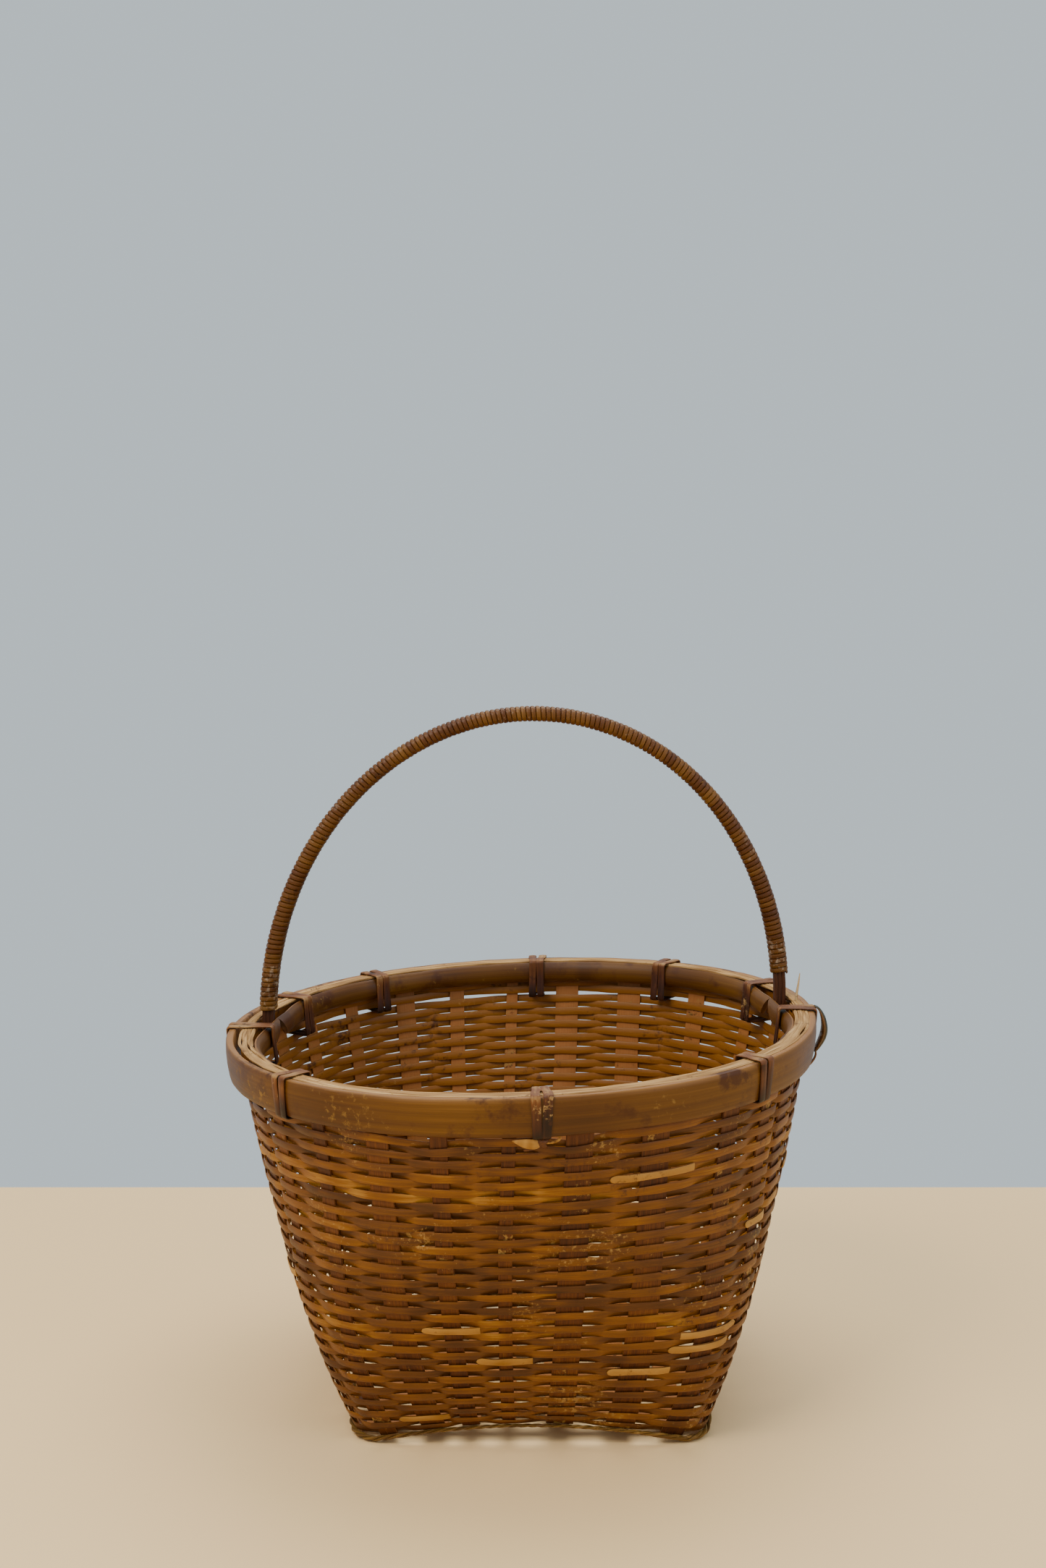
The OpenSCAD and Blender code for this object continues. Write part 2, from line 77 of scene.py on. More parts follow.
def baseRise(x, y):
    flatFrom = wall["baseHalf"] - wall["footLength"]
    return wall["arch"] * max(0, 1 - (x * y / (wall["baseHalf"] * flatFrom)) ** 2)


def wallPoint(angle, t, out):
    # out is the distance outside the middle of the wall
    c, s = cosD(angle), sinD(angle)
    g = growth(t)
    power = wall["rimSquare"] + (wall["baseSquare"] - wall["rimSquare"]) * (1 - t) ** 3
    half = mix(wall["baseHalf"], wall["rimHalf"], g) + out
    reach = half / (abs(c) ** power + abs(s) ** power) ** (1 / power)
    x, y = reach * c, reach * s
    big, small = max(abs(c), abs(s)), min(abs(c), abs(s))
    rise = baseRise(wall["baseHalf"], wall["baseHalf"] * small / big) * (1 - t) ** wall["archFade"]
    return Vector((
        x + g * (wall["skew"] * y - wall["shift"]),
        y + g * wall["skew"] * x,
        t * wall["height"] + rise + g * wall["tilt"] * c,
    ))


def rimPoint(angle, out, up):
    # up is the height above the rim's top edge
    point = wallPoint(angle, min(1, 1 + up / wall["height"]), out)
    point.z += max(0, up)
    return point


def degreesFor(angle, t, length):
    # the angle that a length takes up along the wall
    return length / (wallPoint(angle + 0.5, t, 0) - wallPoint(angle - 0.5, t, 0)).length


# Stakes are numbered round the wall from the front's left corner, going right
stakes = {
    "perSide": 7, "count": 28, "thickness": 1, "lift": 3, "crossing": 0.7, "edgeRoom": 0.4,
    "acrossWidths": [9, 12.5, 9, 7, 14, 15, 12],
    "lengthWidths": [10, 14, 12, 9, 15, 13, 10],
    "acrossPlaces": [-0.8, -0.53, -0.33, -0.12, 0.16, 0.49, 0.8],
    "lengthPlaces": [-0.85, -0.59, -0.31, -0.02, 0.28, 0.57, 0.84],
    "frontFan": [-43, -28.5, -15.6, -2.3, 10.4, 24.8, 43],
    "rightFan": [-35, -26, -17, -7.5, 5.5, 17, 30],
    "leftFan": [-33, -23, -14, -5, 9, 22, 34],
    "wallSteps": 44, "top": 0.9828, "turn": 0.0147, "widthDrift": 0.04,
}


def stakeFacts(n):
    # side 0 is the front, 1 the right, 2 the back and 3 the left
    side, i = divmod(n % stakes["count"], stakes["perSide"])
    j = stakes["perSide"] - 1 - i
    across, length = stakes["acrossPlaces"], stakes["lengthPlaces"]
    place = [across[i], length[i], -across[j], -length[j]][side]
    fan = [stakes["frontFan"][i], stakes["rightFan"][i], -stakes["frontFan"][j], -stakes["leftFan"][j]][side]
    widths = stakes["lengthWidths"] if side % 2 else stakes["acrossWidths"]
    return side, place, fan, widths[i if side < 2 else j]


stakeTable = [stakeFacts(n) for n in range(stakes["count"])]


def bearing(n, t):
    side, place, fan, _ = stakeTable[n % stakes["count"]]
    turns = 360 * (n // stakes["count"])
    return 90 * (side - 1) + math.degrees(math.atan(place)) * (1 - t) + fan * t + turns


def stakeHalf(n, t, room):
    # half the angle that stake n takes up, with some room on each side
    angle = bearing(n, t)
    return degreesFor(angle, t, stakeTable[n % stakes["count"]][3] / 2 + room)


def gapAfter(n, t):
    return (bearing(n, t) + stakeHalf(n, t, 0) + bearing(n + 1, t) - stakeHalf(n + 1, t, 0)) / 2


# Sizes of the rim, as offsets from the middle of the wall
rim = {
    "outerIn": 2.2, "outerOut": 6.4, "channelOut": -2.2, "innerOut": -5.2,
    "outerHeight": 20, "innerHeight": 12, "innerThick": 3.5, "innerDrop": 0.5,
    "proud": 0.4, "tuck": 20.85,
    "bulge": 5.86, "bulgeSpread": 14, "bulgeFlat": 1.25, "bow": 3.5, "bowSpread": 30,
}
handle = {
    "rise": 166.5, "back": 30, "coreThick": 2, "coreWide": 8, "splintGap": 0.15, "coreGap": 1.28,
    "legDepth": 11, "steps": 64, "wrapRight": 14, "wrapLeft": 5,
    "caneWide": 2.7, "caneThick": 0.95, "pitch": 2.75, "perTurn": 14, "swell": 0.8, "square": 3.2,
}
rightLeg = math.degrees(math.asin((handle["back"] - wall["skew"] * wall["rimHalf"]) / wall["rimHalf"]))
leftLeg = 180 - math.degrees(math.asin((handle["back"] + wall["skew"] * wall["rimHalf"]) / wall["rimHalf"]))
coreTotal = 3 * handle["coreThick"] + 2 * handle["splintGap"]


def bell(angle, middle, spread):
    turn = (angle - middle + 180) % 360 - 180
    return math.exp(-(turn / spread) ** 2)


def bulge(angle):
    # how far the inner hoop stands further in, to let the handle legs past
    near = bell(angle, rightLeg, rim["bulgeSpread"]) + bell(angle, leftLeg, rim["bulgeSpread"])
    return rim["bulge"] * min(1, rim["bulgeFlat"] * near)


def bow(angle):
    # how far the outer hoop stands clear of the weave
    return rim["bow"] * bell(angle, 180, rim["bowSpread"])


# Making a piece: a grid is laid over a row of rings and its seams are merged
def makeSweep(name, rings, closed=False, tones=None, pith=None, lift=None):
    around, along = len(rings[0]), len(rings)
    rows = along if closed else along - 1
    mesh = bmesh.new()
    bmesh.ops.create_grid(mesh, x_segments=around, y_segments=rows, size=1)
    mesh.verts.ensure_lookup_table()
    uvLayer = mesh.loops.layers.uv.new("UVMap")
    toneLayer = mesh.verts.layers.float.new("tone")
    pithLayer = mesh.verts.layers.float.new("pith")
    travelled = [0]
    for k in range(rows):
        travelled.append(travelled[-1] + (rings[(k + 1) % along][0] - rings[k][0]).length * mm)
    girth = [0]
    for k in range(around):
        girth.append(girth[-1] + (rings[0][(k + 1) % around] - rings[0][k]).length * mm)
    for vert in mesh.verts:
        row, spot = divmod(vert.index, around + 1)
        vert.co = rings[row % along][spot % around] * mm
        vert[toneLayer] = (tones[row % along] if tones else 0.5) + (lift[spot % around] if lift else 0)
        vert[pithLayer] = pith[spot % around] if pith else 0
    for face in mesh.faces:
        for loop in face.loops:
            row, spot = divmod(loop.vert.index, around + 1)
            loop[uvLayer].uv = (travelled[row], girth[spot])
    bmesh.ops.remove_doubles(mesh, verts=mesh.verts, dist=1e-6)
    if not closed:
        openEdges = [edge for edge in mesh.edges if edge.is_boundary]
        bmesh.ops.holes_fill(mesh, edges=openEdges, sides=0)
    bmesh.ops.recalc_face_normals(mesh, faces=mesh.faces)
    for face in mesh.faces:
        face.smooth = True
    for edge in mesh.edges:
        edge.smooth = len(edge.link_faces) == 2 and edge.calc_face_angle() < 0.75
    data = bpy.data.meshes.new(name)
    mesh.to_mesh(data)
    mesh.free()
    piece = bpy.data.objects.new(name, data)
    bpy.context.scene.collection.objects.link(piece)
    return piece


def finishPiece(piece, finish, nodes):
    piece.data.materials.append(finishes[finish])
    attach(piece, "root")
    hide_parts(*nodes)
    return piece


# Shared effects, as node groups
def addNode(tree, kind, values=None, **settings):
    node = tree.nodes.new(kind)
    for key, value in settings.items():
        setattr(node, key, value)
    for key, value in (values or {}).items():
        node.inputs[key].default_value = value
    return node


def startGroup(name, inputs, outputs):
    group = bpy.data.node_groups.new(name, "ShaderNodeTree")
    for label, kind in inputs:
        group.interface.new_socket(name=label, in_out="INPUT", socket_type=kind)
    for label in outputs:
        group.interface.new_socket(name=label, in_out="OUTPUT", socket_type="NodeSocketFloat")
    return group, group.nodes.new("NodeGroupInput"), group.nodes.new("NodeGroupOutput")


def placeGroup(tree, group, **values):
    node = tree.nodes.new("ShaderNodeGroup")
    node.node_tree = group
    for key, value in values.items():
        node.inputs[key].default_value = value
    return node


def makeFibreGroup():
    # fine fibres and broader streaks that run along a splint, in metres of its own UV map
    floats = ["Along", "Across"]
    group, start, end = startGroup(
        "fibreGrain", [("Vector", "NodeSocketVector")] + [(f, "NodeSocketFloat") for f in floats],
        ["Fibre", "Streak"],
    )
    link = group.links.new
    scale = addNode(group, "ShaderNodeCombineXYZ", {"Z": 1})
    link(start.outputs["Along"], scale.inputs["X"])
    link(start.outputs["Across"], scale.inputs["Y"])
    for label, share, detail in (("Fibre", 1, 3), ("Streak", 0.22, 2)):
        stretched = addNode(group, "ShaderNodeVectorMath", operation="MULTIPLY")
        sized = addNode(group, "ShaderNodeVectorMath", {"Scale": share}, operation="SCALE")
        grain = addNode(group, "ShaderNodeTexNoise", {"Scale": 1, "Detail": detail, "Roughness": 0.6})
        link(start.outputs["Vector"], stretched.inputs[0])
        link(scale.outputs["Vector"], stretched.inputs[1])
        link(stretched.outputs["Vector"], sized.inputs[0])
        link(sized.outputs["Vector"], grain.inputs["Vector"])
        link(grain.outputs["Fac"], end.inputs[label])
    return group


def makePatchGroup():
    # ragged patches: fine noise that only shows where a broad noise is high
    floats = ["Size", "Fineness", "Amount", "Softness"]
    group, start, end = startGroup(
        "wornPatches", [("Vector", "NodeSocketVector")] + [(f, "NodeSocketFloat") for f in floats],
        ["Mask"],
    )
    link = group.links.new
    broad = addNode(group, "ShaderNodeTexNoise", {"Detail": 4, "Roughness": 0.55})
    fine = addNode(group, "ShaderNodeTexNoise", {"Detail": 5, "Roughness": 0.7})
    both = addNode(group, "ShaderNodeMath", operation="MULTIPLY")
    doubled = addNode(group, "ShaderNodeMath", {1: 2.0}, operation="MULTIPLY")
    floor = addNode(group, "ShaderNodeMath", {0: 1.0}, operation="SUBTRACT")
    top = addNode(group, "ShaderNodeMath", operation="ADD")
    spread = addNode(group, "ShaderNodeMapRange", clamp=True)
    for noiseNode, size in ((broad, "Size"), (fine, "Fineness")):
        link(start.outputs["Vector"], noiseNode.inputs["Vector"])
        link(start.outputs[size], noiseNode.inputs["Scale"])
    link(broad.outputs["Fac"], both.inputs[0])
    link(fine.outputs["Fac"], both.inputs[1])
    link(both.outputs[0], doubled.inputs[0])
    link(start.outputs["Amount"], floor.inputs[1])
    link(floor.outputs[0], top.inputs[0])
    link(start.outputs["Softness"], top.inputs[1])
    link(doubled.outputs[0], spread.inputs["Value"])
    link(floor.outputs[0], spread.inputs["From Min"])
    link(top.outputs[0], spread.inputs["From Max"])
    link(spread.outputs["Result"], end.inputs["Mask"])
    return group


fibreGroup = makeFibreGroup()
patchGroup = makePatchGroup()


def toLinear(code):
    # a colour written as six hexadecimal digits
    shares = [int(code[k:k + 2], 16) / 255 for k in (0, 2, 4)]
    return [*(c / 12.92 if c < 0.04045 else ((c + 0.055) / 1.055) ** 2.4 for c in shares), 1]


def mixColour(tree, factor, first, second):
    node = addNode(tree, "ShaderNodeMix", data_type="RGBA")
    tree.links.new(factor, node.inputs["Factor"])
    for socket, value in ((node.inputs["A"], first), (node.inputs["B"], second)):
        if isinstance(value, str):
            socket.default_value = toLinear(value)
        else:
            tree.links.new(value, socket)
    return node.outputs["Result"]


def makeFinish(name, look):
    material = bpy.data.materials.new(name)
    material.use_nodes = True
    tree = material.node_tree
    link = tree.links.new
    shader = tree.nodes["Principled BSDF"]
    shader.inputs["Specular IOR Level"].default_value = look["gloss"]
    place = addNode(tree, "ShaderNodeTexCoord")
    tone = addNode(tree, "ShaderNodeAttribute", attribute_name="tone")
    pith = addNode(tree, "ShaderNodeAttribute", attribute_name="pith")
    fibre = placeGroup(tree, fibreGroup, Along=look["along"], Across=look["across"])
    stain = placeGroup(tree, patchGroup, **look["stain"])
    scuffAndSheen = placeGroup(tree, patchGroup, **look["scuffAndSheen"])
    link(place.outputs["UV"], fibre.inputs["Vector"])
    link(place.outputs["Object"], stain.inputs["Vector"])
    link(place.outputs["Object"], scuffAndSheen.inputs["Vector"])
    # the tone of the strip, moved up and down by its fibres and streaks, picks the colour
    shade = tone.outputs["Fac"]
    weighted = ((fibre.outputs["Fibre"], look["fibre"]), (fibre.outputs["Streak"], look["streak"]))
    for output, weight in weighted:
        part = addNode(tree, "ShaderNodeMath", {1: weight, 2: -weight / 2}, operation="MULTIPLY_ADD")
        total = addNode(tree, "ShaderNodeMath", operation="ADD")
        link(output, part.inputs[0])
        link(shade, total.inputs[0])
        link(part.outputs[0], total.inputs[1])
        shade = total.outputs[0]
    ramp = addNode(tree, "ShaderNodeValToRGB")
    link(shade, ramp.inputs["Fac"])
    stops = ramp.color_ramp.elements
    while len(stops) < len(look["tones"]):
        stops.new(0.5)
    for k, code in enumerate(look["tones"]):
        stops[k].position = k / (len(look["tones"]) - 1)
        stops[k].color = toLinear(code)
    inner = mixColour(tree, fibre.outputs["Fibre"], look["pith"][0], look["pith"][1])
    colour = mixColour(tree, pith.outputs["Fac"], ramp.outputs["Color"], inner)
    colour = mixColour(tree, stain.outputs["Mask"], colour, look["stainColour"])
    # worn patches in their own colour, which is real wear on most finishes; on the handle their grey colour
    # is a painted sheen
    colour = mixColour(tree, scuffAndSheen.outputs["Mask"], colour, look["scuffAndSheenColour"])
    link(colour, shader.inputs["Base Color"])
    rough = addNode(tree, "ShaderNodeMath", {1: 0.22, 2: look["rough"]}, operation="MULTIPLY_ADD")
    rougher = addNode(tree, "ShaderNodeMath", {1: 0.2}, operation="MULTIPLY_ADD", use_clamp=True)
    link(fibre.outputs["Fibre"], rough.inputs[0])
    link(scuffAndSheen.outputs["Mask"], rougher.inputs[0])
    link(rough.outputs[0], rougher.inputs[2])
    link(rougher.outputs[0], shader.inputs["Roughness"])
    height = addNode(tree, "ShaderNodeMath", {1: 0.5}, operation="MULTIPLY_ADD")
    bump = addNode(tree, "ShaderNodeBump", {"Strength": look["bump"], "Distance": look["bumpDepth"] * mm})
    link(scuffAndSheen.outputs["Mask"], height.inputs[0])
    link(fibre.outputs["Fibre"], height.inputs[2])
    link(height.outputs[0], bump.inputs["Height"])
    link(bump.outputs["Normal"], shader.inputs["Normal"])
    return material


def patches(size, fineness, amount, softness):
    return {"Size": size, "Fineness": fineness, "Amount": amount, "Softness": softness}


weaverLook = {
    "tones": ["261200", "502a02", "7a480a", "b2822e"], "pith": ["6a3a06", "9c641a"],
    "along": 90, "across": 2600, "fibre": 0.4, "streak": 0.5, "gloss": 0.3, "rough": 0.36,
    "stain": patches(34, 260, 0.34, 0.2), "stainColour": "4a2606",
    "scuffAndSheen": patches(26, 420, 0.31, 0.18), "scuffAndSheenColour": "9c763a", "bump": 0.45, "bumpDepth": 0.12,
}
looks = {
    "weaver": weaverLook,
    "splice": {**weaverLook, "tones": ["6a420e", "8a5c1c", "a87a36", "c29a5c"]},
    "stake": {
        **weaverLook, "tones": ["2a1203", "4c2406", "6e3c0e", "94601e"], "pith": ["8a5020", "b0743a"],
        "along": 70, "across": 2100, "fibre": 0.9, "streak": 0.6, "rough": 0.45, "bump": 0.8,
        "stain": patches(30, 200, 0.3, 0.15), "scuffAndSheen": patches(30, 300, 0.3, 0.12),
    },
    "binding": {
        **weaverLook, "tones": ["3a260a", "5c3e12", "7c5a20", "a07c3c"], "fibre": 0.6, "rough": 0.5,
    },
    "hoop": {
        **weaverLook, "tones": ["301a00", "4c2900", "623c04", "80561c"], "pith": ["7a4c20", "a87c4c"],
        "along": 22, "across": 1500, "fibre": 0.4, "streak": 0.7, "rough": 0.36, "bump": 0.4,
        "stain": patches(20, 80, 0.45, 0.2), "stainColour": "462200",
        "scuffAndSheen": patches(14, 300, 0.31, 0.2), "scuffAndSheenColour": "866228",
    },
    "straw": {
        **weaverLook, "tones": ["5c3e1c", "8c6636", "b08a56", "d0ae7c"], "pith": ["a8865a", "d2b88a"],
        "along": 60, "across": 3200, "fibre": 0.8, "rough": 0.55, "bump": 0.7,
    },
    "lashing": {
        **weaverLook, "tones": ["1e0a02", "44200a", "6e4018", "a88450"], "pith": ["4c280c", "7a4c20"],
        "along": 60, "across": 2600, "fibre": 0.5, "streak": 0.6, "rough": 0.38, "scuffAndSheenColour": "a8844e",
        "stain": patches(60, 300, 0.38, 0.14), "stainColour": "3a1a06",
    },
    "skin": {
        **weaverLook, "tones": ["101006", "1e1c0a", "34300f", "5c4c24"], "pith": ["5a3c1c", "8a6038"],
        "rough": 0.3, "gloss": 0.45, "scuffAndSheenColour": "6a5c34",
    },
    "core": {
        **weaverLook, "tones": ["1c0a02", "3c1c06", "5c300c", "80501c"], "fibre": 0.8, "rough": 0.5,
    },
    "handle": {
        **weaverLook, "tones": ["301602", "4e2804", "66400e", "84602c"], "fibre": 0.5, "rough": 0.36,
        # the handle's grey scuff colour is a painted sheen, laid into its worn patches
        "scuffAndSheen": patches(22, 300, 0.36, 0.2), "scuffAndSheenColour": "94806a", "stainColour": "341802",
    },
}
finishes = {name: makeFinish(name + "Finish", look) for name, look in looks.items()}
print("finishes made,", len(finishes))

# Stakes: each goes down one wall, under the base and up the other wall
stakeSection = [
    (-1, -0.2), (-1, 0.2), (-0.95, 0.5), (0, 0.5), (0.95, 0.5), (1, 0.2), (1, -0.2),
    (0.95, -0.5), (0, -0.5), (-0.95, -0.5),
]


def stakeWallRing(n, t, flip, seed):
    middle = bearing(n, t)
    width = stakeHalf(n, t, 0) * (1 + stakes["widthDrift"] * wander(9 * t, seed))
    sway = 0.15 * stakeHalf(n, t, 0) * wander(4 * t, seed + 40) * t
    return [
        wallPoint(middle + sway + flip * share * width, t, depth * stakes["thickness"])
        for share, depth in stakeSection
    ]


def stakeBaseRings(isAcross, j):
    own = stakes["acrossPlaces" if isAcross else "lengthPlaces"][j] * wall["baseHalf"]
    width = stakes["acrossWidths" if isAcross else "lengthWidths"][j]
    places = stakes["lengthPlaces" if isAcross else "acrossPlaces"]
    widths = stakes["lengthWidths" if isAcross else "acrossWidths"]
    way = 1 if isAcross else -1
    order = range(stakes["perSide"]) if isAcross else range(stakes["perSide"] - 1, -1, -1)
    stations = []
    for k in order:
        over = (1 if (j + k) % 2 == 0 else -1) * way
        for edge in (-1, 0, 1):
            along = places[k] * wall["baseHalf"] + way * edge * widths[k] / 2
            stations.append((along, over * stakes["crossing"]))
    rings = []
    for index, (along, level) in enumerate(stations):
        rings.append((along, level))
        if index % 3 == 2 and index + 1 < len(stations):
            nextAlong, nextLevel = stations[index + 1]
            rings.append(((along + nextAlong) / 2, (level + nextLevel) / 2))
    made = []
    for along, level in rings:
        ring = []
        for share, depth in stakeSection:
            side = own + share * width / 2
            x, y = (side, along) if isAcross else (along, side)
            z = stakes["lift"] + baseRise(x, y) + level - depth * stakes["thickness"]
            ring.append(Vector((x, y, z)))
        made.append(ring)
    return made


def makeStake(isAcross, j):
    last = 3 * stakes["perSide"] if isAcross else stakes["count"]
    first, second = (j if isAcross else stakes["perSide"] + j), last - 1 - j
    steps = stakes["wallSteps"]
    heights = [mix(stakes["top"], stakes["turn"], k / steps) for k in range(steps + 1)]
    rings = [stakeWallRing(first, t, 1, first) for t in heights]
    rings += stakeBaseRings(isAcross, j)
    rings += [stakeWallRing(second, t, -1, second) for t in reversed(heights)]
    tones = [0.45 + 0.3 * wander(0.13 * k, first) for k in range(len(rings))]
    pith = [1 if depth < 0 else 0 for _, depth in stakeSection]
    node = ("stake_fb_" if isAcross else "stake_lr_") + str(j + 1)
    piece = makeSweep(node.replace("stake", "splint"), rings, False, tones, pith)
    finishPiece(piece, "stake", [node])


for j in range(stakes["perSide"]):
    makeStake(True, j)
    makeStake(False, j)
print("stakes made")

# Courses: each is one weaver that passes outside every second stake
weaving = {
    "rows": 45, "perBand": 5, "rimRows": 4, "low": 4.1, "tuckLow": 182.3, "tuckHigh": 184, "top": 200.5,
    "thickness": 0.75, "swing": 1.38, "overlap": 0.16, "crossing": -0.12,
    "sway": 0.45, "ripple": 0.3, "uneven": 0.4, "twist": 0.35, "gapSteps": 6,
    "seed": 11,
}
weaverSection = [
    (0, -0.2), (0, 0.2), (0.1, 0.5), (0.5, 0.62), (0.9, 0.5), (1, 0.2), (1, -0.2),
    (0.9, -0.5), (0.5, -0.5), (0.1, -0.5),
]
weaverPith = [1 if depth < 0 else 0 for _, depth in weaverSection]
# Where the top courses hang loose, as (bearing, spread, drop)
loose = {"rows": 4, "spots": [(279, 5, 3.2), (252, 6, 3), (318, 8, 1.2)]}
chance = random.Random(weaving["seed"])


def courseLine(k, angle):
    # height, in millimetres, of the line between course k and the next; courses share their lines
    rows = weaving["rows"]
    if k > rows:
        return mix(weaving["tuckHigh"], weaving["top"], (k - rows - 1) / weaving["rimRows"])
    level = mix(weaving["low"], weaving["tuckLow"], k / rows)
    free = min(1, k / 2, (rows - k) / 2)
    sway = weaving["sway"] * drift(angle, 3, k) + weaving["ripple"] * drift(angle, 14, k + 60)
    slack = max(0, 1 - (rows - k) / loose["rows"])
    drop = sum(most * bell(angle, middle, spread) for middle, spread, most in loose["spots"])
    return level + free * sway - slack * drop


def courseStations(row, firstStake, lastStake):
    # (angle, swing) pairs: swing is 1 outside a stake, -1 inside one and 0 half way between
    middle = mix(weaving["low"], weaving["top"], (row + 0.5) / (weaving["rows"] + weaving["rimRows"]))
    t = middle / wall["height"]
    steps = weaving["gapSteps"]
    stations = []
    for n in range(firstStake, lastStake):
        swing = 1 if (n + row) % 2 == 0 else -1
        angle, half = bearing(n, t), stakeHalf(n, t, stakes["edgeRoom"])
        following = bearing(n + 1, t) - stakeHalf(n + 1, t, stakes["edgeRoom"])
        for share in (-1, -0.35, 0.35):
            stations.append((angle + share * half, swing))
        for k in range(steps):
            share = k / steps
            stations.append((mix(angle + half, following, share), swing * math.cos(math.pi * share)))
    return stations


def courseRing(row, line, angle, swing, extra=0, narrow=1):
    # line is the number of the course line below this row
    reachOut = weaving["overlap"] + weaving["uneven"] * drift(angle, 9, row + 120)
    over = mix(-weaving["crossing"], reachOut, abs(swing) ** 0.8)
    low, high = courseLine(line, angle) - over, courseLine(line + 1, angle) + over
    middle, half = (low + high) / 2, (high - low) / 2 * narrow
    twist = weaving["twist"] * drift(angle, 20, row + 200) * abs(swing)
    push = 0.12 * drift(angle, 17, row + 300)
    out = swing * weaving["swing"] + push * swing + extra
    return [
        wallPoint(angle, (middle + (2 * share - 1) * half) / wall["height"],
                  out + depth * weaving["thickness"] + twist * (share - 0.5))
        for share, depth in weaverSection
    ]


def courseTone(row, angle, base):
    return base + 0.22 * drift(angle, 2.2, row + 400) + 0.2 * drift(angle, 12, row + 500)


def makeCourse(row):
    inRim = row > weaving["rows"]
    line = row if inRim else row - 1
    stations = courseStations(row, 0, stakes["count"])
    rings = [courseRing(row, line, angle, swing) for angle, swing in stations]
    base = 0.5 + 0.16 * chance.uniform(-1, 1)
    tones = [courseTone(row, angle, base) for angle, _ in stations]
    piece = makeSweep("course_%02d" % row, rings, True, tones, weaverPith)
    band = "rim" if inRim else str((row - 1) // weaving["perBand"] + 1)
    finishPiece(piece, "weaver", ["weaver_band_" + band])


for row in range(1, weaving["rows"] + weaving["rimRows"] + 1):
    makeCourse(row)
print("courses made,", weaving["rows"] + weaving["rimRows"])

# Splices: where a weaver runs out, a new one starts on top of it with a rounded end
splices = {"count": 22, "lift": 0.72, "endSteps": 6, "endLength": 3.2, "seed": 5}


def makeSplice(index, row, n):
    stations = courseStations(row, n - 1, n + 2)
    perStake = weaving["gapSteps"] + 3
    half = weaving["gapSteps"] // 2
    # from just before stake n to where the weaver has gone in behind its neighbours
    start = perStake - 1 - index % 3
    chosen = stations[start:2 * perStake - half + 1]
    backwards = index % 4 == 3
    rings, tones = [], []
    firstAngle, firstSwing = chosen[0]
    endDegrees = degreesFor(firstAngle, row * 3.96 / wall["height"], splices["endLength"])
    dense = []
    for k in range(splices["endSteps"]):
        share = k / splices["endSteps"]
        angle = firstAngle - endDegrees * (1 - share)
        dense.append((angle, firstSwing, math.sqrt(1 - (1 - share) ** 2) * 0.94 + 0.06))
    dense += [(angle, swing, 1) for angle, swing in chosen]
    for angle, swing, narrow in dense:
        if backwards:
            angle = 2 * bearing(n, row * 3.96 / wall["height"]) - angle
        rings.append(courseRing(row, row - 1, angle, swing, splices["lift"], narrow * 0.93))
        tones.append(courseTone(row, angle, 0.62))
    piece = makeSweep("splice_%02d" % (index + 1), rings, False, tones, weaverPith)
    band = str((row - 1) // weaving["perBand"] + 1)
    finishPiece(piece, "splice", ["weaver_band_" + band])


spliceChance = random.Random(splices["seed"])
used = set()
while len(used) < splices["count"]:
    row = spliceChance.randint(3, weaving["rows"] - 1)
    n = spliceChance.choice([1, 2, 3, 4, 5, 6, 6, 5, 7, 8, 9, 11, 14, 16, 18, 20, 23, 25, 26])
    if (n + row) % 2 == 0 and (row, n) not in used:
        makeSplice(len(used), row, n)
        used.add((row, n))
print("splices made,", splices["count"])

# Base binding: strands twisted round one another, outside the stakes' turned corners
binding = {
    "strands": 3, "middle": 2.4, "height": 1.95, "wind": 0.95, "thick": 1.9, "perTurn": 12, "turns": 38,
    "sides": 8,
}


def makeBinding(strand):
    count = binding["turns"] * binding["perTurn"] // 2 * 2
    rings, tones = [], []
    for k in range(count):
        angle = 360 * k / count
        phase = 2 * math.pi * (binding["turns"] * k / count + strand / binding["strands"])
        out = binding["middle"] + binding["wind"] * math.cos(phase)
        level = binding["height"] + binding["wind"] * math.sin(phase)
        half = binding["thick"] / 2 * (1 + 0.12 * drift(angle, 20, strand))
        rings.append([
            wallPoint(angle, (level + half * sinD(360 * c / binding["sides"])) / wall["height"],
                      out + half * cosD(360 * c / binding["sides"]))
            for c in range(binding["sides"])
        ])
        tones.append(0.45 + 0.4 * drift(angle, 11, strand + 7))
    piece = makeSweep("binding_strand_%d" % (strand + 1), rings, True, tones)
    finishPiece(piece, "binding", ["base_binding"])


for strand in range(binding["strands"]):
    makeBinding(strand)
print("base binding made")

# Outer hoop: a split of bamboo with a faintly crowned face
outerHoop = {"steps": 180, "topDrift": 0.35, "lowDrift": 0.55, "faceDrift": 0.35, "paintedTopSheen": 0.5}
outerSection = [
    (0, 0.05), (0, 0.97), (0.15, 1), (0.78, 1), (0.95, 0.965), (1, 0.86), (1.06, 0.66), (1.07, 0.4),
    (1, 0.13), (0.93, 0.03), (0.75, 0), (0.2, 0),
]


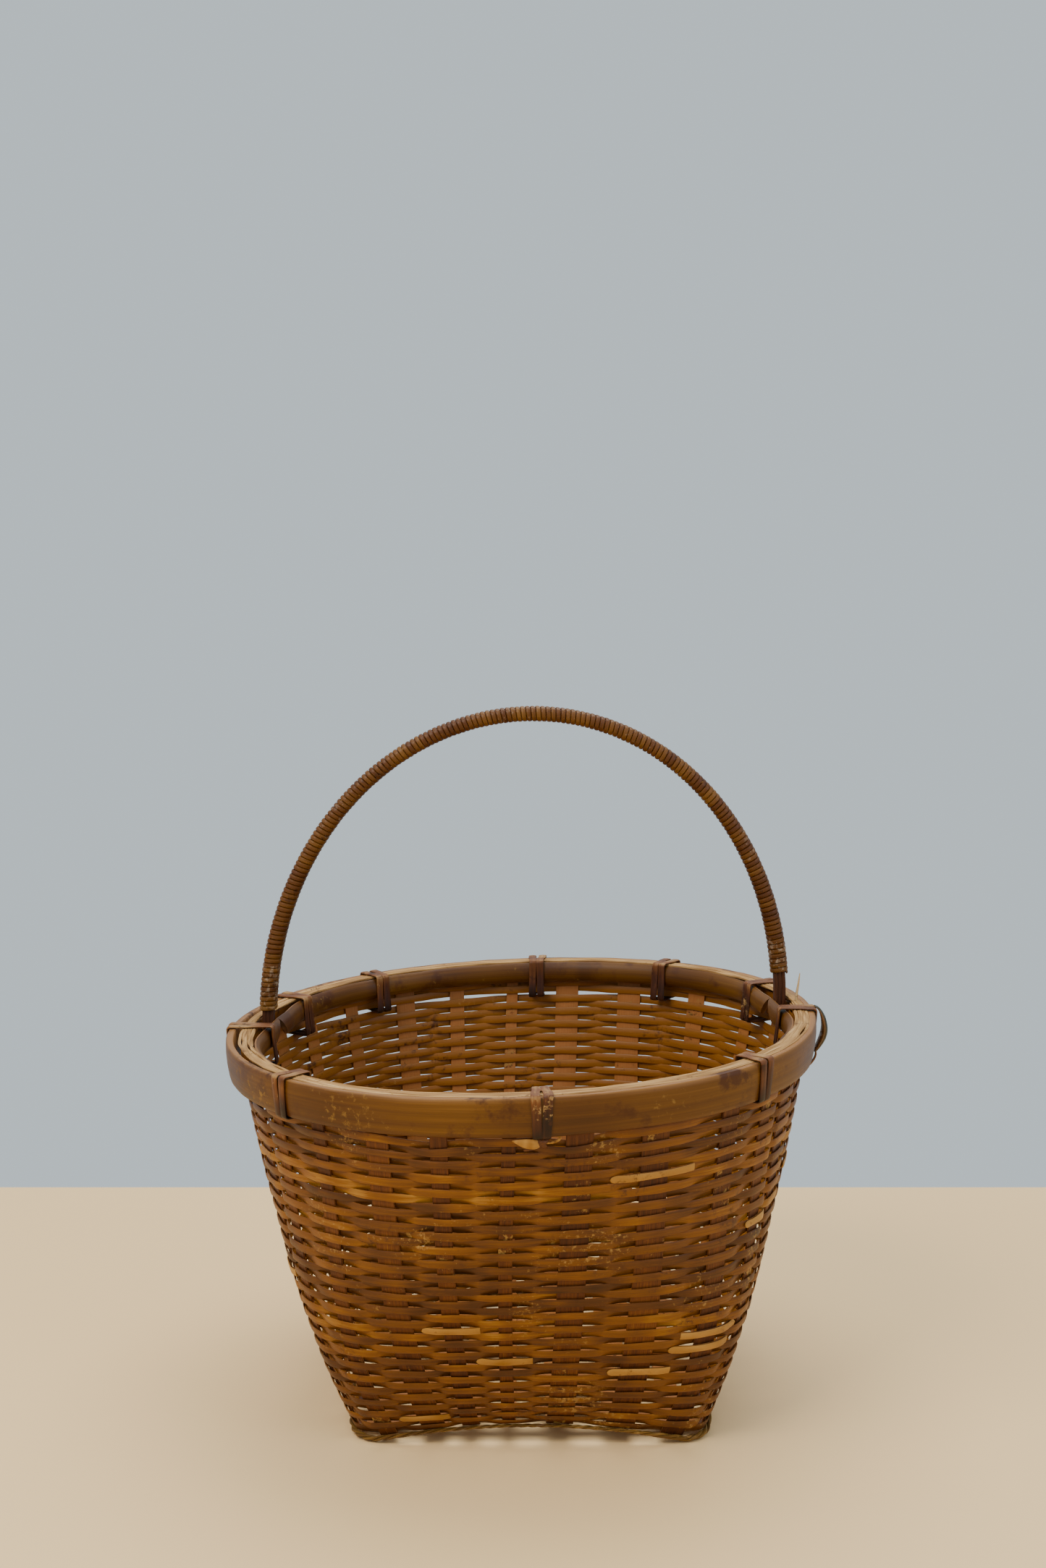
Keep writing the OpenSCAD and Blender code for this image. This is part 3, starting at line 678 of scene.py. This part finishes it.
def makeOuterHoop():
    rings, tones = [], []
    for k in range(outerHoop["steps"]):
        angle = 360 * k / outerHoop["steps"]
        top = outerHoop["topDrift"] * (0.6 * drift(angle, 9, 1) + 0.5 * drift(angle, 45, 2))
        low = outerHoop["lowDrift"] * (0.7 * drift(angle, 6, 3) + 0.3 * drift(angle, 30, 4))
        face = outerHoop["faceDrift"] * drift(angle, 7, 5)
        ring = []
        for x, y in outerSection:
            out = mix(rim["outerIn"], rim["outerOut"] + face, x) + bow(angle)
            up = mix(-rim["outerHeight"] + low, min(0.3, top), y)
            ring.append(rimPoint(angle, out, up))
        rings.append(ring)
        tones.append(0.5 + 0.3 * drift(angle, 3, 6))
    pith = [1 if x < 0.5 else 0.5 if y > 0.98 else 0 for x, y in outerSection]
    # the upper half of the hoop's face is painted paler towards its top edge: a painted sheen from the light
    # above
    lift = [outerHoop["paintedTopSheen"] * max(0, y - 0.5) - 0.04 for _, y in outerSection]
    piece = makeSweep("outer_hoop", rings, True, tones, pith, lift)
    finishPiece(piece, "hoop", ["rim_outer_hoop"])


# Inner hoop: half-round rods in two lengths that meet at the handle, with slanting cut ends
innerHoop = {
    "stepsPerDegree": 0.5, "slant": 5, "slantReach": 6, "knuckle": 0.7, "knuckleSpread": 1.6,
    "knuckles": [28, 75, 128, 205, 252, 300, 338],
}
innerSection = [
    (0, 0.03), (0, 0.97), (0.3, 1), (0.72, 0.9), (0.95, 0.7), (1, 0.5), (0.95, 0.3), (0.72, 0.1), (0.3, 0),
]


def makeInnerHoop(name, start, end):
    steps = round((end - start) * innerHoop["stepsPerDegree"])
    rings, tones = [], []
    for k in range(steps + 1):
        angle = mix(start, end, k / steps)
        knuckle = max(bell(angle, at, innerHoop["knuckleSpread"]) for at in innerHoop["knuckles"])
        thick = rim["innerThick"] + innerHoop["knuckle"] * knuckle + 0.25 * drift(angle, 6, 11)
        nearStart = max(0, 1 - (angle - start) / innerHoop["slantReach"])
        nearEnd = max(0, 1 - (end - angle) / innerHoop["slantReach"])
        lean = innerHoop["slant"] * (nearStart - nearEnd)
        ring = []
        for x, y in innerSection:
            out = rim["innerOut"] - bulge(angle) - thick * x
            top = -rim["innerDrop"] + 0.3 * drift(angle, 8, 12)
            up = mix(-rim["innerDrop"] - rim["innerHeight"], top, y)
            ring.append(rimPoint(angle - lean * (y - 0.5), out, up))
        rings.append(ring)
        tones.append(0.55 + 0.25 * drift(angle, 4, 13) - 0.35 * knuckle)
    pith = [1 if x < 0.2 else 0 for x, _ in innerSection]
    piece = makeSweep("inner_hoop_" + name, rings, False, tones, pith)
    finishPiece(piece, "hoop", ["rim_inner_hoop"])


makeOuterHoop()
makeInnerHoop("front", leftLeg + 2.4, 360 + rightLeg - 2.4)
makeInnerHoop("back", rightLeg + 2.4, leftLeg - 2.4)
print("hoops made")

# Straw fillers: flat strands that cover the stakes' ends and fill the channel
straw = {
    "step": 2, "spread": 1.4, "legFree": 5, "sink": 0.7, "drift": 0.35, "roll": 25,
    "top": [(-1.3, 2.1, 1.6), (0.2, 2.0, 1.7), (1.6, 1.8, 1.3)],
    "channel": [(-2.9, 1.8, 1.6), (-4.2, 2.0, 1.7)],
}


def makeStrand(name, start, end, closed, out, wide, thick, seed, node):
    steps = round((end - start) / straw["step"])
    rings, tones = [], []
    for k in range(steps if closed else steps + 1):
        angle = mix(start, end, k / steps)
        opened = max(bell(angle, 340, 18), bell(angle, 200, 20)) * straw["spread"]
        side = out + straw["drift"] * drift(angle, 7, seed) + opened * drift(angle, 9, seed + 30)
        up = rim["proud"] - straw["sink"] + straw["drift"] * drift(angle, 10, seed + 60)
        up += 0.5 * opened * drift(angle, 8, seed + 90)
        taper = 1 if closed else min(1, 0.35 + 0.65 * min(k, steps - k) / 3)
        halfWide, halfThick = wide / 2 * taper, thick / 2 * taper
        roll = straw["roll"] * drift(angle, 6, seed + 120)
        ring = []
        for c in range(6):
            a, b = halfWide * cosD(60 * c + 30), halfThick * sinD(60 * c + 30)
            across = side + a * cosD(roll) - b * sinD(roll)
            ring.append(rimPoint(angle, across, up + a * sinD(roll) + b * cosD(roll)))
        rings.append(ring)
        tones.append(0.5 + 0.4 * drift(angle, 9, seed + 150))
    piece = makeSweep(name, rings, closed, tones)
    finishPiece(piece, "straw", [node])


for k, (out, wide, thick) in enumerate(straw["top"]):
    makeStrand("straw_top_%d" % (k + 1), 0, 360, True, out, wide, thick, k + 1, "rim_filler_top")
for k, (out, wide, thick) in enumerate(straw["channel"]):
    free = straw["legFree"] + k
    makeStrand("straw_front_%d" % (k + 1), leftLeg + free, 360 + rightLeg - free, False,
               out, wide, thick, k + 11, "rim_filler_front")
    makeStrand("straw_back_%d" % (k + 1), rightLeg + free, leftLeg - free, False,
               out, wide, thick, k + 21, "rim_filler_back")
print("straw made")

# Lashings: two turns of cane round the whole rim
lashing = {
    "wide": 4.5, "thick": 0.95, "gap": 0.35, "corner": 1.6, "cornerSteps": 4, "sideSteps": 5, "lean": 0.9,
    "places": {
        "front": 3, "front_right": 6, "right": 10, "right_back": 12, "back_right": 14,
        "back": 16, "back_left": 19, "left_back": 21, "left": 23, "front_left": 27,
    },
}
caneSection = [
    (-1, -0.2), (-1, 0.25), (-0.8, 0.5), (0, 0.62), (0.8, 0.5), (1, 0.25), (1, -0.2),
    (0.8, -0.5), (-0.8, -0.5),
]
tuckT = 1 - rim["tuck"] / wall["height"]


def roundedLoop(low, high, bottom, top, corner):
    # places and outward directions round a box with rounded corners, as (out, up, outward, upward)
    spots = []
    centres = [(high - corner, top - corner), (low + corner, top - corner),
               (low + corner, bottom + corner), (high - corner, bottom + corner)]
    for quarter, (x, y) in enumerate(centres):
        for k in range(lashing["cornerSteps"] + 1):
            turn = 90 * (quarter + k / lashing["cornerSteps"])
            spots.append((x + corner * cosD(turn), y + corner * sinD(turn), cosD(turn), sinD(turn)))
        nextX, nextY = centres[(quarter + 1) % 4]
        turn = 90 * (quarter + 1)
        for k in range(1, lashing["sideSteps"]):
            share = k / lashing["sideSteps"]
            out = mix(x, nextX, share) + corner * cosD(turn)
            up = mix(y, nextY, share) + corner * sinD(turn)
            spots.append((out, up, cosD(turn), sinD(turn)))
    return spots


def makeLashing(place, after, seed):
    centre = gapAfter(after, tuckT)
    perMm = degreesFor(centre, 1, 1)
    half = lashing["thick"] / 2
    for turn in (-1, 1):
        middle = turn * (lashing["wide"] / 2 + 0.3)
        low = rim["innerOut"] - bulge(centre) - rim["innerThick"] - lashing["gap"] - half
        high = rim["outerOut"] + bow(centre) + lashing["gap"] + half
        bottom = -rim["tuck"]
        top = rim["proud"] + lashing["gap"] + half
        spots = roundedLoop(low, high, bottom, top, lashing["corner"])
        rings, tones = [], []
        for k, (out, up, outward, upward) in enumerate(spots):
            lean = lashing["lean"] * (up / rim["tuck"] + 0.5) * turn * (1 if out > 0 else -0.6)
            wide = lashing["wide"] / 2 * (1 + 0.1 * wander(0.4 * k, seed + turn))
            rings.append([
                rimPoint(centre + (middle + lean + share * wide) * perMm,
                         out + depth * lashing["thick"] * outward, up + depth * lashing["thick"] * upward)
                for share, depth in caneSection
            ])
            # the cane is painted paler towards the rim's top and darker beneath it: painted light from above
            # and painted shade underneath
            tones.append(0.32 + 0.6 * (up / rim["tuck"] + 0.5) + 0.4 * wander(0.35 * k, seed + 3 * turn))
        side = "a" if turn < 0 else "b"
        piece = makeSweep("cane_%s_%s" % (place, side), rings, True, tones)
        finishPiece(piece, "lashing", ["lashing_" + place])


for seed, (place, after) in enumerate(lashing["places"].items()):
    makeLashing(place, after, 10 * seed)
print("lashings made,", len(lashing["places"]))


# Loose canes: each follows a few places, given as (along the rim, out, up, width, thickness)
def smoothSpots(spots, steps):
    made = []
    last = len(spots) - 1
    for k in range(last):
        before, a, b, after = spots[max(0, k - 1)], spots[k], spots[k + 1], spots[min(last, k + 2)]
        for step in range(steps):
            x = step / steps
            made.append([
                0.5 * (2 * q + (r - p) * x + (2 * p - 5 * q + 4 * r - s) * x ** 2
                       + (3 * q - p - 3 * r + s) * x ** 3)
                for p, q, r, s in zip(before, a, b, after)
            ])
    made.append(list(spots[-1]))
    return made


def makeCane(name, centre, spots, finish, node, tone=0.5, face="out"):
    perMm = degreesFor(centre, 1, 1)
    path = smoothSpots(spots, 6)
    points = [rimPoint(centre + along * perMm, out, up) for along, out, up, _, _ in path]
    rings, tones = [], []
    for k, (along, out, up, wide, thick) in enumerate(path):
        angle = centre + along * perMm
        way = (points[min(k + 1, len(points) - 1)] - points[max(k - 1, 0)]).normalized()
        if face == "out":
            normal = rimPoint(angle, out + 1, up) - rimPoint(angle, out, up)
        else:
            normal = way.cross(rimPoint(angle + 1, out, up) - rimPoint(angle, out, up))
        normal = (normal - way * normal.dot(way)).normalized()
        across = way.cross(normal)
        rings.append([
            points[k] + across * (share * wide / 2) + normal * (depth * thick)
            for share, depth in caneSection
        ])
        tones.append(tone + 0.25 * wander(0.3 * k, len(name)))
    pith = [1 if depth < 0 else 0 for _, depth in caneSection]
    piece = makeSweep(name, rings, False, tones, pith)
    finishPiece(piece, finish, [node])


frontPlace = gapAfter(lashing["places"]["front"], tuckT)
rightPlace = gapAfter(lashing["places"]["right"], tuckT)
knotCanes = {
    "knot_tail": [(-0.5, 5.2, -23.4, 2.6, 0.8), (-3.5, 6, -23.7, 4.8, 0.8), (-8, 6, -23.1, 4.4, 0.7),
                  (-11.5, 5.6, -22.3, 2.4, 0.6), (-14, 5.2, -21.7, 0.5, 0.4)],
    "knot_turn": [(-1.8, 3.2, -20.6, 2.2, 0.8), (-1.2, 5.4, -22, 2.4, 0.8), (0.2, 5.7, -23.8, 2.4, 0.8),
                  (1.6, 4.6, -25.6, 2.2, 0.8), (1.8, 2.9, -26.4, 1.6, 0.7)],
    "knot_cross": [(2.6, 3.2, -21, 2.2, 0.8), (2.0, 5.2, -22.4, 2.2, 0.8), (0.2, 6.1, -23.2, 2.4, 0.8),
                   (-2.2, 5.2, -24.8, 2.4, 0.8), (-5, 3.9, -26.6, 2, 0.7), (-8.6, 3.1, -27.6, 1, 0.5)],
    "knot_loop": [(2.2, 4.6, -23.6, 1.2, 0.6), (5.4, 5.2, -23.2, 1.3, 0.6), (8.2, 4.9, -22.2, 1.3, 0.6),
                  (8.8, 4.4, -20.8, 1.3, 0.6), (6.6, 4.1, -20.2, 1.1, 0.6)],
}
for name, spots in knotCanes.items():
    makeCane(name, frontPlace, spots, "splice" if name in ("knot_tail", "knot_loop") else "lashing",
             "knot_front", 0.5)

earSplint = [(0, 6.6, 1.9, 4.4, 0.8), (0, 9.2, 0.2, 5.6, 1.2), (0, 11.6, -4.4, 8, 2.2),
             (0.2, 12.9, -10, 9.4, 2.8), (0.3, 12.6, -15, 9, 2.8), (0.2, 10.8, -20, 8, 2),
             (0, 9.2, -23.4, 6, 0.8)]
earCane = [(0.4, 8.2, -20.6, 2.2, 0.9), (0.2, 9.8, -23, 2.4, 0.9), (0, 10.2, -26.2, 2.4, 0.9),
           (-0.6, 8.4, -29.8, 2.2, 0.9), (-1.4, 5.2, -32.8, 2, 0.8), (-2, 2.7, -34.4, 1.6, 0.7)]
makeCane("ear_splint_skin", rightPlace, earSplint, "skin", "ear_splint", 0.4, "along")
makeCane("ear_cane_loop", rightPlace, earCane, "lashing", "ear_cane", 0.6, "along")
# One straw has sprung up beside the right leg of the handle
strawSpike = [(0, -0.6, -4, 1.9, 1.1), (0.4, 0.2, 4, 1.9, 1.1), (1.3, 1.4, 10.5, 1.4, 0.8),
              (2, 2.2, 15.5, 0.4, 0.4)]
makeCane("straw_spike", rightLeg - 4.5, strawSpike, "straw", "rim_filler_top", 0.8)
print("knot and loose canes made")

# Handle: three splints one over another, wound with cane
coreMiddle = rim["channelOut"] - handle["coreGap"] - coreTotal / 2
rightTop, leftTop = rimPoint(rightLeg, coreMiddle, 0), rimPoint(leftLeg, coreMiddle, 0)
archHalf, archX = (rightTop.x - leftTop.x) / 2, (rightTop.x + leftTop.x) / 2


def archPoint(u):
    # u runs from 0 at the right end of the arch to 180 at the left
    return Vector((
        archX + archHalf * cosD(u), handle["back"],
        wall["height"] + handle["rise"] * sinD(u) + wall["tilt"] * cosD(u),
    ))


def archOut(u):
    way = archPoint(u + 0.5) - archPoint(u - 0.5)
    return Vector((way.z, 0, -way.x)).normalized()


def legFrame(angle):
    # lower end of a leg, which leans in as the wall does
    top, low = rimPoint(angle, coreMiddle, 0), rimPoint(angle, coreMiddle, -handle["legDepth"])
    way = top - low
    out = Vector((way.z, 0, -way.x)).normalized() * (1 if cosD(angle) > 0 else -1)
    return Vector((low.x, handle["back"], low.z)), out


def makeCore(layer, name):
    middle = layer * (handle["coreThick"] + handle["splintGap"])
    steps = handle["steps"]
    frames = [legFrame(rightLeg)]
    frames += [(archPoint(180 * k / steps), archOut(180 * k / steps)) for k in range(steps + 1)]
    frames += [legFrame(leftLeg)]
    outline = [
        (-0.5, -0.94), (-0.5, 0.94), (-0.3, 1), (0.3, 1),
        (0.5, 0.94), (0.5, -0.94), (0.3, -1), (-0.3, -1),
    ]
    rings = [
        [centre + out * (middle + x * handle["coreThick"]) + Vector((0, y * handle["coreWide"] / 2, 0))
         for x, y in outline]
        for centre, out in frames
    ]
    tones = [0.4 + 0.3 * wander(0.2 * k, layer + 5) for k in range(len(rings))]
    piece = makeSweep("core_splint_" + name, rings, False, tones)
    finishPiece(piece, "core", ["handle_core_" + name])


def makeWinding():
    u0 = math.degrees(math.asin(handle["wrapRight"] / handle["rise"]))
    u1 = 180 - math.degrees(math.asin(handle["wrapLeft"] / handle["rise"]))
    samples = 200
    marks = [archPoint(mix(u0, u1, k / samples)) for k in range(samples + 1)]
    travel = [0]
    for k in range(samples):
        travel.append(travel[-1] + (marks[k + 1] - marks[k]).length)
    turns = travel[-1] / handle["pitch"]
    count = round(turns * handle["perTurn"])
    section = [(-1, 0), (-0.75, 0.75), (0, 1), (0.75, 0.75), (1, 0), (0, -0.1)]
    rings, tones = [], []
    slot = 0
    for k in range(count + 1):
        gone = travel[-1] * k / count
        while slot < samples - 1 and travel[slot + 1] < gone:
            slot += 1
        u = mix(u0, u1, (slot + (gone - travel[slot]) / (travel[slot + 1] - travel[slot])) / samples)
        centre, out = archPoint(u), archOut(u)
        way = Vector((-out.z, 0, out.x))
        turn = 360 * k / handle["perTurn"]
        more = handle["swell"] * abs(cosD(u)) ** 4 + 0.12 * wander(0.9 * k / handle["perTurn"], 3)
        halfDeep, halfWide = coreTotal / 2 + 0.25 + more, handle["coreWide"] / 2 + 0.1 + more
        c, s = cosD(turn), sinD(turn)
        power = handle["square"]
        reach = 1 / ((abs(c) / halfDeep) ** power + (abs(s) / halfWide) ** power) ** (1 / power)
        ray = out * c + Vector((0, s, 0))
        wide = handle["caneWide"] / 2 * (1 + 0.08 * wander(1.7 * k / handle["perTurn"], 9))
        rings.append([
            centre + ray * (reach + lift * handle["caneThick"]) + way * (share * wide)
            for share, lift in section
        ])
        turned = k / handle["perTurn"]
        tones.append(0.5 + 0.3 * wander(0.6 * turned, 12) + 0.15 * wander(0.07 * turned, 14))
    piece = makeSweep("handle_winding", rings, False, tones)
    finishPiece(piece, "handle", ["handle_wrap"])


for layer, name in ((1, "outer"), (0, "middle"), (-1, "inner")):
    makeCore(layer, name)
makeWinding()
print("handle made")

# Floor, lights and camera
stage = {
    "floorSize": 12, "floorBack": 0.33, "floorColour": "f0cc94", "worldColour": "c8d4da", "worldPower": 1.05,
    "lights": [
        ("key", (-0.9, -0.9, 1.5), 0.9, 24, "fff4e6"),
        ("fill", (1.3, -0.9, 1.0), 1.0, 7, "eef3ff"),
        ("top", (0.1, 0.5, 1.7), 1.2, 22, "fffaf2"),
    ],
    "target": (0, 0, 0.12),
}
view = {"place": (-0.004, -1.176, 0.492), "down": 7.6, "lens": 50, "sensor": 36}


def makeStage():
    mesh = bmesh.new()
    bmesh.ops.create_grid(mesh, x_segments=1, y_segments=1, size=stage["floorSize"] / 2)
    bmesh.ops.translate(mesh, verts=mesh.verts, vec=(0, stage["floorBack"] - stage["floorSize"] / 2, 0))
    data = bpy.data.meshes.new("floor")
    mesh.to_mesh(data)
    mesh.free()
    floor = bpy.data.objects.new("floor", data)
    bpy.context.scene.collection.objects.link(floor)
    material = bpy.data.materials.new("floorFinish")
    material.use_nodes = True
    shader = material.node_tree.nodes["Principled BSDF"]
    shader.inputs["Base Color"].default_value = toLinear(stage["floorColour"])
    shader.inputs["Roughness"].default_value = 0.6
    data.materials.append(material)
    world = bpy.data.worlds.new("studio")
    world.use_nodes = True
    background = world.node_tree.nodes["Background"]
    background.inputs["Color"].default_value = toLinear(stage["worldColour"])
    background.inputs["Strength"].default_value = stage["worldPower"]
    bpy.context.scene.world = world
    for name, place, size, power, colour in stage["lights"]:
        lamp = bpy.data.lights.new(name, "AREA")
        lamp.shape = "SQUARE"
        lamp.size = size
        lamp.energy = power
        lamp.color = toLinear(colour)[:3]
        holder = bpy.data.objects.new(name, lamp)
        holder.location = place
        holder.rotation_euler = (Vector(stage["target"]) - Vector(place)).to_track_quat("-Z", "Y").to_euler()
        bpy.context.scene.collection.objects.link(holder)


def makeCamera():
    lens = bpy.data.cameras.new("camera")
    lens.lens = view["lens"]
    lens.sensor_width = view["sensor"]
    holder = bpy.data.objects.new("camera", lens)
    holder.location = view["place"]
    holder.rotation_euler = (math.radians(90 - view["down"]), 0, 0)
    bpy.context.scene.collection.objects.link(holder)
    bpy.context.scene.camera = holder


makeStage()
makeCamera()
print("stage and camera made")
